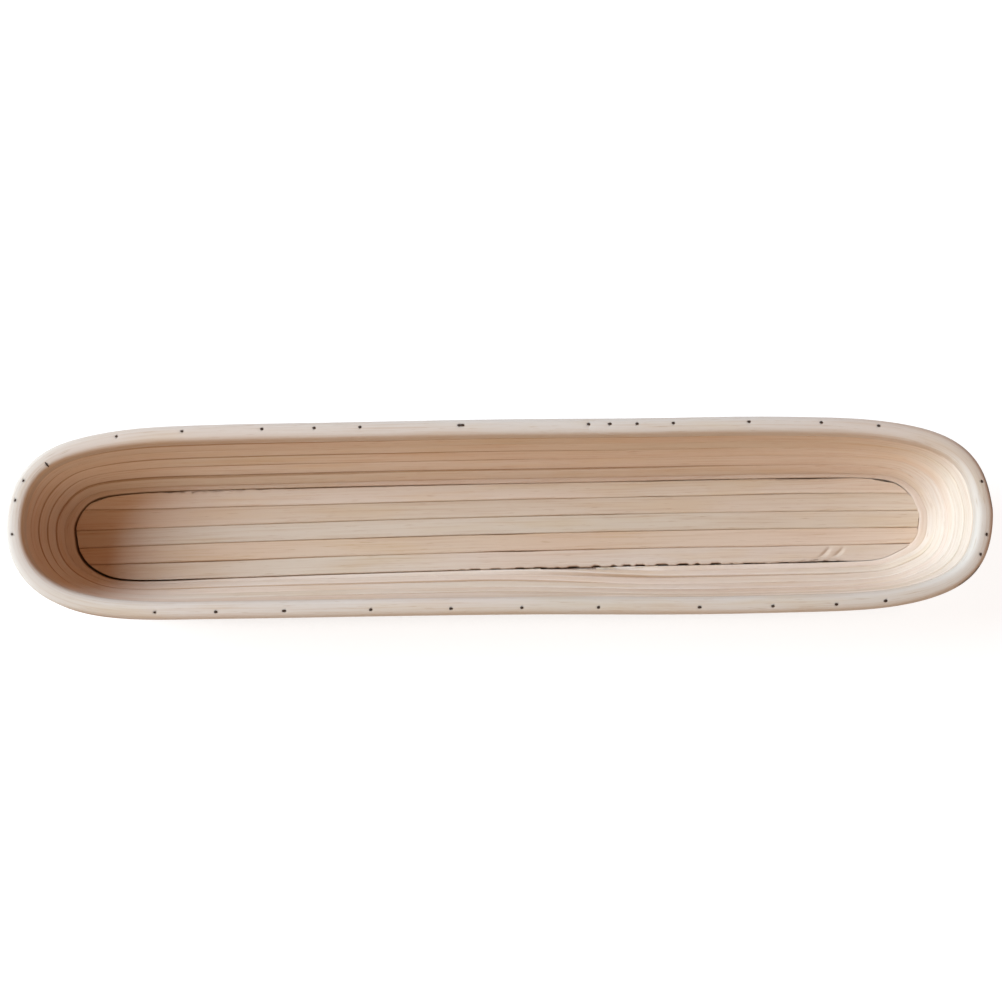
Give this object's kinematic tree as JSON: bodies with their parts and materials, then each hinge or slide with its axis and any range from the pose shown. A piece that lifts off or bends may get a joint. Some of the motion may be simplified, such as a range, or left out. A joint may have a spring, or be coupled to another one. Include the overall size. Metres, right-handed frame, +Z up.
{
  "type": "proofing basket",
  "caption": "Long oval proofing basket of coiled rattan cane: straight canes form the floor, a coiled cane leans out as the wall, and a nailed hoop closes the rim.",
  "frame": {"origin": "on the table, under the middle of the basket", "axes": "+X along the basket's length, +Y across it to the far side of the picture, +Z up towards the rim"},
  "size_m": [0.4288, 0.0848, 0.0528],
  "materials": {
    "floor_rattan": "smooth matte rattan core with fine lengthwise fibres",
    "wall_rattan": "smooth matte rattan core with fine lengthwise fibres",
    "rim_rattan": "smooth matte rattan core, paler where it is handled",
    "nail_steel": "dark oxidised wire nails"
  },
  "bodies": {
    "root": {"floor_cane_1": "floor_rattan", "floor_cane_2": "floor_rattan", "floor_cane_3": "floor_rattan", "floor_cane_4": "floor_rattan", "floor_cane_5": "floor_rattan", "floor_pins": "nail_steel", "foot_nails": "nail_steel", "wall_coil": "wall_rattan", "wall_nails_1": "nail_steel", "wall_nails_2": "nail_steel", "wall_nails_3": "nail_steel", "wall_nails_4": "nail_steel", "wall_nails_5": "nail_steel", "rim_hoop": "rim_rattan", "rim_nails": "nail_steel"}
  },
  "joints": []
}
